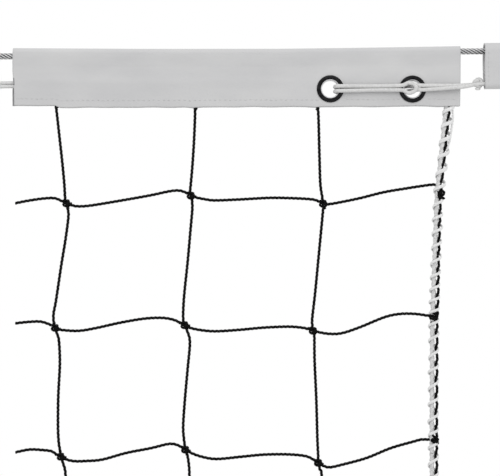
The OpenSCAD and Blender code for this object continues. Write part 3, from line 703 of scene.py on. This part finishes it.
ring_yz = cover_section()
cover_xs = np.linspace(cover_x, cover_x + cover_l, 33)
cx = np.repeat(cover_xs[:, None], len(ring_yz), 1)
cy = np.repeat(ring_yz[None, :, 0], len(cover_xs), 0)
cz = np.repeat(ring_yz[None, :, 1], len(cover_xs), 0)
cover_points = np.stack(shaped_cover(cx, cy, cz), -1)
n, k = cover_points.shape[:2]
a = np.arange(n - 1)[:, None] * k + np.arange(k)
b = np.arange(n - 1)[:, None] * k + (np.arange(k) + 1) % k
cover_mesh = bpy.data.meshes.new("cover_cloth")
cover_mesh.from_pydata((cover_points.reshape(-1, 3) * 0.001).tolist(), [],
                       np.stack([a, b, b + k, a + k], -1).reshape(-1, 4).tolist())
cover_mesh.polygons.foreach_set("use_smooth", [True] * len(cover_mesh.polygons))
cover_mesh.materials.append(vinyl)
cover = cloth_piece("cover_cloth", cover_mesh)
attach(cover, "cover")
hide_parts("cable_cover")

lap_zs = np.linspace(-24.0, -14.0, 9)
lap_rings = []
for x in cover_xs:
    lap = np.stack(shaped_cover(np.full_like(lap_zs, x), cover_half(lap_zs) + 0.72, lap_zs), 1)
    lap_rings.append(np.vstack([lap + [0, 0.32, 0], (lap - [0, 0.32, 0])[::-1]]))
cover_lap = skins_to_mesh("cover_lap", [np.array(lap_rings)], vinyl, smooth=False)
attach(cover_lap, "cover")

cover_skins = []
for x in np.arange(cover_x + 3, cover_x + cover_l - 2, stitch_pitch):
    for z in (-16.0, -22.0):
        at = shaped_cover(x, cover_half(z) + 1.05, z)
        cover_skins.append(stitch(at, (1, 0, 0), (0, 1, 0)))
for z in np.arange(-21, 3, 3.6):
    for side in (-1, 1):
        at = shaped_cover(cover_x + 2.8, side * (cover_half(z) + cloth_t / 2), z)
        cover_skins.append(stitch(at, (0, 0, 1), (0, side, 0), length=2.3))
cover_seam = skins_to_mesh("cover_seam", cover_skins, thread_white)
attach(cover_seam, "cover")
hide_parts("cover_stitching")

# ---- Hem twine and hitches ----
# Black three-strand nylon twine runs inside the hem. The mesh hangs from it by a small hitch at
# each column.
black_twine, shader = finish_of("black_nylon_twine", (0.003, 0.003, 0.003), 0.7, specular=0.07)
mottle(black_twine, shader, 900, (0.001, 0.001, 0.001), (0.005, 0.005, 0.005))
grain(black_twine, shader, 5000, 0.0001, 0.5, 0.5, 0.8)


def strand_outline(radius, strands, sides, groove=0.72):
    """Distance from the axis of a twist of round strands, once round."""
    q = radius * math.sin(math.pi / strands) / (1 + math.sin(math.pi / strands))
    c = radius - q
    angle = (np.arange(sides) / sides * 2 * math.pi + math.pi / strands) % (2 * math.pi / strands)
    angle = angle - math.pi / strands
    inner = np.clip(q ** 2 - (c * np.sin(angle)) ** 2, 0, None)
    return np.maximum(c * np.cos(angle) + np.sqrt(inner), groove * radius)


twine_outline = strand_outline(1.27, 3, 15, groove=0.78)
hem_twine_rise = 1.8         # the twine's middle over the lower edge of the cloth
hem_line, hem_s = line_through(
    [(x, 0, hem_z + hem_twine_rise + hem_drop(x)) for x in np.arange(62, 406, 8.0)], 0.8)
hem_twine = skins_to_mesh("hem_twine", [twisted(hem_line, hem_s, twine_outline, 10.0)],
                          black_twine)
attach(hem_twine, "headband")
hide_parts("top_selvage")

column_xs = (94.1, *hem_hitch_xs)
hitch_drop = 0.85            # the hitch's middle under the lower edge of the cloth
hitch_skins = []
for x in column_xs:
    k = np.linspace(0, 4 * math.pi, 41)
    coil = np.stack([x - 1.0 + k / (2 * math.pi), 1.35 * np.cos(k),
                     hem_z - hitch_drop + hem_drop(x) - 0.6 * np.sin(k)], 1)
    path, gone = line_through(coil, 0.4)
    hitch_skins.append(twisted(path, gone, twine_outline * 0.62, 5.0))
hem_hitches = skins_to_mesh("hem_hitches", hitch_skins, black_twine)
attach(hem_hitches, "headband")
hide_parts("hem_knots")

# ---- Mesh twine ----
# The same black twine, 2 mm, knotted into squares of about 100 mm. The columns bend at the knots
# where one row folds against the next. The rows are cut and heat-sealed at their left ends.
twine_lay = 9.9
net_knots = [
    [(101, -113.5), (199, -108.5), (303, -116)],
    [(91, -211.5), (193, -210.5), (294, -216)],
    [(94.5, -313), (192.5, -308.5), (297, -320)]]
foot_z = -411.0
foot_xs = (93, 195, 293)
drops = [
    [[(94.5, -45), (96, -60), (98, -80), (99.5, -98), (100, -109)],
     [(203, -45), (202, -65), (200.5, -85), (199, -100), (198.5, -104)],
     [(300, -45), (300.5, -75), (301, -100), (302.5, -111.5)]],
    [[(102, -118), (102.5, -124), (100, -142), (96.5, -162), (92, -190), (90, -200), (90, -207)],
     [(200, -114), (200, -120), (198.5, -135), (196, -160), (193, -186), (192, -200), (192, -206)],
     [(303, -120.5), (302, -130), (299, -158), (296, -186), (293.5, -206), (293.5, -211.5)]],
    [[(92.5, -216), (94, -222), (94.5, -240), (93, -265), (92.5, -290), (93, -302), (94, -308.5)],
     [(195, -215), (197, -224), (195, -245), (192.5, -270), (191, -290), (191.5, -300),
      (192, -304)],
     [(295, -220.5), (295, -240), (296, -270), (296.5, -300), (297, -315.5)]],
    [[(96, -317.5), (98, -327), (97, -350), (94, -380), (93, -400), (93, -406)],
     [(194.5, -315), (195.5, -328), (194, -350), (193.5, -380), (194.5, -400), (195, -406)],
     [(298, -324.5), (299.5, -330), (297, -355), (293, -385), (292.5, -400), (293, -406)]]]
crosses = [
    [[(61, -113), (72, -111), (84, -109.5), (92, -109.5), (98, -112)],
     [(105, -115), (110, -116), (120, -115.5), (143, -112), (167, -108), (182, -105),
      (190, -104.5), (196, -106.5)],
     [(203, -110), (210, -111.5), (218, -112.5), (237, -112), (261, -111), (280, -111.5),
      (294, -112.5), (298.8, -113.8)],
     [(307, -116.5), (314, -115.5), (332, -112), (351, -107.5), (370, -104.5), (384, -102.5),
      (389.5, -102)]],
    [[(60, -207.5), (71, -206.5), (80, -206.5), (87.5, -209)],
     [(95, -213), (109, -214), (123, -212), (142, -208), (161, -205), (175, -204.5),
      (184, -206), (189.5, -208.5)],
     [(197, -212.5), (206, -214.5), (218, -215.5), (237, -214.5), (256, -213), (275, -212.5),
      (286, -213.5), (290, -214.5)],
     [(298, -217), (307, -218.5), (317, -218), (331, -213.5), (350, -206), (362, -203.5),
      (374, -203.5), (384.5, -205)]],
    [[(59, -309), (70, -307), (80, -307.5), (87, -308.5), (91, -311)],
     [(98.5, -315), (105, -316.5), (114, -316.5), (127, -315.5), (146, -310.5), (165, -307),
      (178, -304), (184, -304), (189, -306)],
     [(196, -310.5), (205, -314), (217, -316), (236, -314.5), (254, -313), (273, -313),
      (287, -314.5), (293.5, -317.5)],
     [(300.5, -322), (306, -323.5), (316, -321.5), (335, -316.5), (354, -309), (372, -304),
      (378, -302.5), (382.5, -302.5)]]]
hinge_zs = (-41.6, -112.0, -211.5, -313.0)       # where each row folds against the one above
side_centre_z = (-45.0, -112.0, -211.5, -313.0, -399.0)
side_centre_x = (402.0, 394.2, 389.5, 388.0, 388.0)
side_knot_zs = (-109.4, -206.2, -303.0)
twine_step = 0.5


def centre_x(z):
    """Where the side border's middle line is at a height."""
    return float(np.interp(-z, [-v for v in side_centre_z], side_centre_x))


def cross_the_fold(piece):
    """Bakes the piece's place in the world into its mesh."""
    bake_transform(piece)


def in_plane(points):
    """Points of the net's plane, given as x, z."""
    return [(x, 0.0, z) for x, z in points]


for row in range(1, 5):
    for column, letter in enumerate("abc"):
        if row == 1:
            x = column_xs[column]
            lead = (x - 0.6, hem_z + 1.4 + hem_drop(x))
        else:
            x, z = net_knots[row - 2][column]
            lead = (x + 0.6, z - 1.6)
        points = in_plane([lead] + drops[row - 1][column])
        if row < 4:
            x, z = net_knots[row - 1][column]
            points.append((x - 0.5, 0, z + 2.0))
        else:
            x = foot_xs[column]
            points += [(x, 2.4, foot_z + 2.5), (x, 1.0, foot_z - 1.6)]
        path, gone = line_through(points, twine_step)
        piece = skins_to_mesh(f"column_{letter}{row}",
                              [twisted(path, gone, twine_outline, twine_lay, 0.7 * column)],
                              black_twine)
        cross_the_fold(piece)
        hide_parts(f"drop_twine_{letter}{row}")

for row in range(1, 4):
    skins = []
    for part, run in enumerate(crosses[row - 1]):
        points = in_plane(run)
        if part > 0:
            x, z = net_knots[row - 1][part - 1]
            points.insert(0, (x + 2.6, 0, z - 0.4))
        if part < 3:
            x, z = net_knots[row - 1][part]
            points.append((x - 2.2, 0, z + 1.4))
        else:
            # The last run passes behind the border's rope to its knot on the selvage.
            x, z = run[-1]
            knot_z = side_knot_zs[row - 1]
            knot_x = centre_x(knot_z)
            points += [(x + 2.6, 1.6, z - 0.3), (centre_x(z) - 1.6, 3.0, z - 1.2),
                       (knot_x + 0.2, 2.6, (z + knot_z) / 2 + 0.4),
                       (knot_x + 1.7, 1.2, knot_z + 0.6)]
        path, gone = line_through(points, twine_step)
        skins.append(twisted(path, gone, twine_outline, twine_lay, 1.1 * part + row))
    # The sealed end: a small melted bead.
    x, z = crosses[row - 1][0][0]
    bead = [(x - 0.4, 0, z), (x - 0.1, 0, z), (x + 0.4, 0, z - 0.05), (x + 1.2, 0, z - 0.1)]
    path, gone = line_through(bead, 0.2)
    bead_r = 1.18 * np.sqrt(np.clip(1 - (2 * gone / gone[-1] - 1) ** 4, 0.05, 1))
    _, u, v = carried_frames(path)
    around = np.arange(12) * math.pi / 6
    skins.append(path[:, None] + bead_r[:, None, None] * (
        np.cos(around)[None, :, None] * u[:, None] + np.sin(around)[None, :, None] * v[:, None]))
    piece = skins_to_mesh(f"row_twine_{row}", skins, black_twine)
    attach(piece, f"row_{row}")
    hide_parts(f"cross_twine_{row}")

# ---- Mesh knots ----
# A sheet bend at every crossing: the row's twine makes a bight, and the column's twine passes up
# through it, round behind it and under itself. Pulled tight, it is a slanted lump.
knot_turns = (-6, 5, -3, 4, -5)
bight = [(-4.2, 0.2, 2.0), (-2.9, -0.5, 1.9), (-1.3, -1.4, 2.3), (0.6, -1.6, 1.9), (2.2, -1.1, 0.6),
         (2.6, 0.1, -0.9), (1.6, 1.0, -2.1), (-0.2, 1.2, -2.3), (-1.9, 0.6, -1.6),
         (-2.4, -0.6, -0.4), (-1.2, -1.5, 0.4), (0.6, -1.5, -0.3), (2.2, -0.7, -0.8),
         (3.4, 0.0, -0.5), (4.3, 0.0, -0.4)]
wrap = [(-0.6, 0.3, 4.2), (-0.7, 0.9, 2.8), (-1.4, 1.5, 1.2), (-2.3, 0.9, -0.4), (-2.0, -0.7, -1.6),
        (-0.6, -1.7, -1.5), (0.9, -1.9, -0.3), (1.9, -0.9, 1.3), (1.5, 0.7, 2.1),
        (0.2, 1.7, 1.3), (-0.2, 1.7, -0.4), (0.4, 1.2, -1.9), (1.1, 0.5, -3.0), (1.4, 0.1, -4.2)]


def sheet_bend(x, z, size=1.0, turn=0.0, tall=1.0):
    """Both twines of one knot, drawn up about its centre."""
    c, s = math.cos(math.radians(turn)), math.sin(math.radians(turn))
    skins = []
    for route, phase in ((bight, 0.4), (wrap, 1.7)):
        p = np.array(route) * [size * 0.96, size * 0.8, size * 0.98 * tall]
        p = np.stack([p[:, 0] * c - p[:, 2] * s + x, p[:, 1], p[:, 0] * s + p[:, 2] * c + z], 1)
        path, gone = line_through(p, 0.45)
        skins.append(twisted(path, gone, twine_outline * 0.8, twine_lay * 0.8, phase))
    return skins


for row in range(1, 4):
    skins = []
    for column in range(3):
        x, z = net_knots[row - 1][column]
        skins += sheet_bend(x, z, 1.06, turn=knot_turns[(row + column) % 5])
    piece = skins_to_mesh(f"knots_{row}", skins, black_twine)
    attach(piece, f"row_{row}")
    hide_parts(f"net_knots_{row}")

# ---- Laced border ----
# The mesh ends at a black selvage twine. A white three-strand rope lies along its inner side, and
# flat white braid is wound round both by hand, so its turns are a little uneven.
rope_shift, selvage_shift = -1.6, 1.8            # from the border's middle line
rope_lay = 13.0
foot_turn = 11.4             # the lacing's pitch along the foot
corner_r = 12.0
edge_step = 0.55
turn_heights = [36.5, 48, 59, 72, 83.5, 97, 109, 122, 131.5, 143, 154, 167, 177, 187, 196, 205,
                215, 227, 240.5, 251.5, 265.5, 277, 291, 301, 311, 325, 336.5, 348, 359, 370.5,
                382, 393.5]
in_the_hem = [(402 + 0.1164 * (z + 45), z) for z in (-38.5, -41.5)]
down_the_side = [(centre_x(z), z) for z in np.arange(-45, -398, -8.0)]
round_the_corner = [(side_centre_x[-1] - corner_r + corner_r * math.cos(a),
                     foot_z + corner_r - corner_r * math.sin(a))
                    for a in np.radians(np.arange(10, 91, 10))]
along_the_foot = [(x, foot_z) for x in np.arange(370, 60, -8.0)] + [(60, foot_z)]
edge_line, edge_s = line_through(
    in_plane(in_the_hem + down_the_side + round_the_corner + along_the_foot), edge_step)
edge_t = np.gradient(edge_line, axis=0)
edge_t /= np.linalg.norm(edge_t, axis=1)[:, None]
edge_out = np.stack([-edge_t[:, 2], 0 * edge_t[:, 1], edge_t[:, 0]], 1)
backwards = np.array([0.0, 1.0, 0.0])
on_side = edge_line[:, 2] > foot_z + corner_r
turns = np.interp(-edge_line[:, 2], turn_heights, np.arange(len(turn_heights)))
last_side = int(np.flatnonzero(on_side)[-1])
turns = np.where(on_side, turns, turns[last_side] + (edge_s - edge_s[last_side]) / foot_turn)
edge_phase = math.radians(243) + 2 * math.pi * turns

# The rope is coloured greyer than the braid: painted shade where it shows between the lacing's
# turns.
rope_white, shader = finish_of("white_rope", (0.58, 0.58, 0.58), 0.7, specular=0.25)
mottle(rope_white, shader, 800, (0.44, 0.44, 0.44), (0.7, 0.7, 0.7))
grain(rope_white, shader, 4500, 0.0002, 0.6, 0.55, 0.8)
lace_white, shader = finish_of("flat_white_braid", (0.68, 0.68, 0.68), 0.65, specular=0.25)
mottle(lace_white, shader, 1100, (0.56, 0.56, 0.56), (0.78, 0.78, 0.78))
grain(lace_white, shader, 3800, 0.0002, 0.6, 0.5, 0.75)

rope_outline = strand_outline(1.95, 3, 18, groove=0.8)
selvage_outline = strand_outline(1.22, 3, 15, groove=0.8)


def wound(where):
    """Rings of the winding over one stretch of the border."""
    fine = np.linspace(where[0], where[-1], (where[-1] - where[0]) * 2 + 1)
    pick = np.arange(len(edge_line))
    line = np.stack([np.interp(fine, pick, edge_line[:, k]) for k in range(3)], 1)
    out = np.stack([np.interp(fine, pick, edge_out[:, k]) for k in range(3)], 1)
    phase = np.interp(fine, pick, edge_phase)
    wobble = 0.16 * np.sin(phase * 0.37) + 0.12 * np.sin(phase * 1.13)
    upper = np.clip((line[:, 2] + 112) / 16, 0, 1)
    half_wide = (3.85 + wobble + 0.15 * upper)[:, None]
    half_deep = (2.55 + 0.5 * wobble)[:, None]
    inward = 0.55 * (1 - upper)[:, None]
    across, deep = np.cos(phase)[:, None], -np.sin(phase)[:, None]
    path = line + (half_wide * across - inward) * out + half_deep * deep * backwards
    t = np.gradient(path, axis=0)
    t /= np.linalg.norm(t, axis=1)[:, None]
    normal = half_deep * across * out + half_wide * deep * backwards
    normal -= (normal * t).sum(1)[:, None] * t
    normal /= np.linalg.norm(normal, axis=1)[:, None]
    width = np.cross(t, normal)
    angle = np.arange(12) * math.pi / 6
    weave = 1 + 0.05 * ((np.arange(len(path))[:, None] + np.arange(12)[None, :]) % 2)
    braid_half = (0.98 + 0.36 * upper + 0.12 * np.sin(phase) ** 2)[:, None]
    return (path[:, None] + (weave * braid_half * np.cos(angle))[..., None] * width[:, None]
            + (weave * 0.55 * np.sin(angle))[..., None] * normal[:, None])


edge_z = edge_line[:, 2]
stretch_ends = (0.0, *hinge_zs[1:], -1000.0)
for row in range(1, 5):
    where = np.flatnonzero((edge_z <= stretch_ends[row - 1]) & (edge_z >= stretch_ends[row]))
    where = np.arange(max(where[0] - 1, 0), min(where[-1] + 1, len(edge_line) - 1) + 1)
    s, line, out = edge_s[where], edge_line[where], edge_out[where]
    upper = np.clip((edge_z[where] + 112) / 16, 0, 1)[:, None]
    rope_line = line + (rope_shift - 0.1 * upper) * out
    rope = skins_to_mesh(f"edge_rope_{row}", [twisted(rope_line, s, rope_outline, rope_lay)],
                         rope_white)
    # The lacing draws the selvage twine in and out as it passes.
    swing = edge_phase[where][:, None] + math.pi
    inward = np.interp(-edge_z[where], [96, 112, 165, 190], [1.25, 0.9, 0.6, 0.0])[:, None]
    selvage_line = (line + (selvage_shift - inward + 0.6 * np.cos(swing)) * out
                    - (0.35 + 0.55 * np.sin(swing)) * backwards)
    selvage = skins_to_mesh(f"edge_twine_{row}",
                            [twisted(selvage_line, s, selvage_outline, twine_lay)], black_twine)
    lace_skins = [wound(where)]
    if row == 1:
        # The lacing starts with a loose end that hangs from the hem outside its own turns.
        tail = [(centre_x(z) + outside, -0.6, z) for z, outside in
                ((-40.5, 3.1), (-46, 3.9), (-52, 4.3), (-58, 4.2), (-64, 3.9), (-70, 3.3),
                 (-75.5, 1.9))]
        tail_path, tail_gone = line_through(tail, 0.6)
        lace_skins.append(twisted(tail_path, tail_gone, strand_outline(0.95, 3, 12, 0.8), 8.0))
    lace = skins_to_mesh(f"edge_lace_{row}", lace_skins, lace_white)
    for piece, kind, slot in ((rope, "rope", "border_rope_fibre"),
                              (selvage, "selvage", "selvage_twine"),
                              (lace, "lacing", "border_lacing_cord")):
        cross_the_fold(piece)
        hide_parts(f"border_{kind}_{row}")

# ---- Selvage knots ----
# Each row of the mesh is tied to the selvage twine between two turns of the lacing, and so is the
# foot of each column.
side_knots = (dict(shift=1.3, size=0.92, turn=160, tall=1.42),
              dict(shift=-0.9, size=1.05, turn=-38, tall=1.15),
              dict(shift=0.6, size=1.0, turn=-35, tall=1.1))
for row, (z, tied) in enumerate(zip(side_knot_zs, side_knots), start=1):
    skins = [skin + [0, -1.1, 0] for skin in
             sheet_bend(centre_x(z) + tied["shift"], z, tied["size"], tied["turn"], tied["tall"])]
    knot = skins_to_mesh(f"edge_knot_{row}", skins, black_twine)
    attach(knot, f"row_{row}")
    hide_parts(f"side_knot_{row}")
foot_skins = [skin for x in foot_xs for skin in sheet_bend(x, foot_z - 1.9, 0.8, turn=8)]
foot_ties = skins_to_mesh("foot_ties", foot_skins, black_twine)
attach(foot_ties, "row_4")
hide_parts("foot_knots")
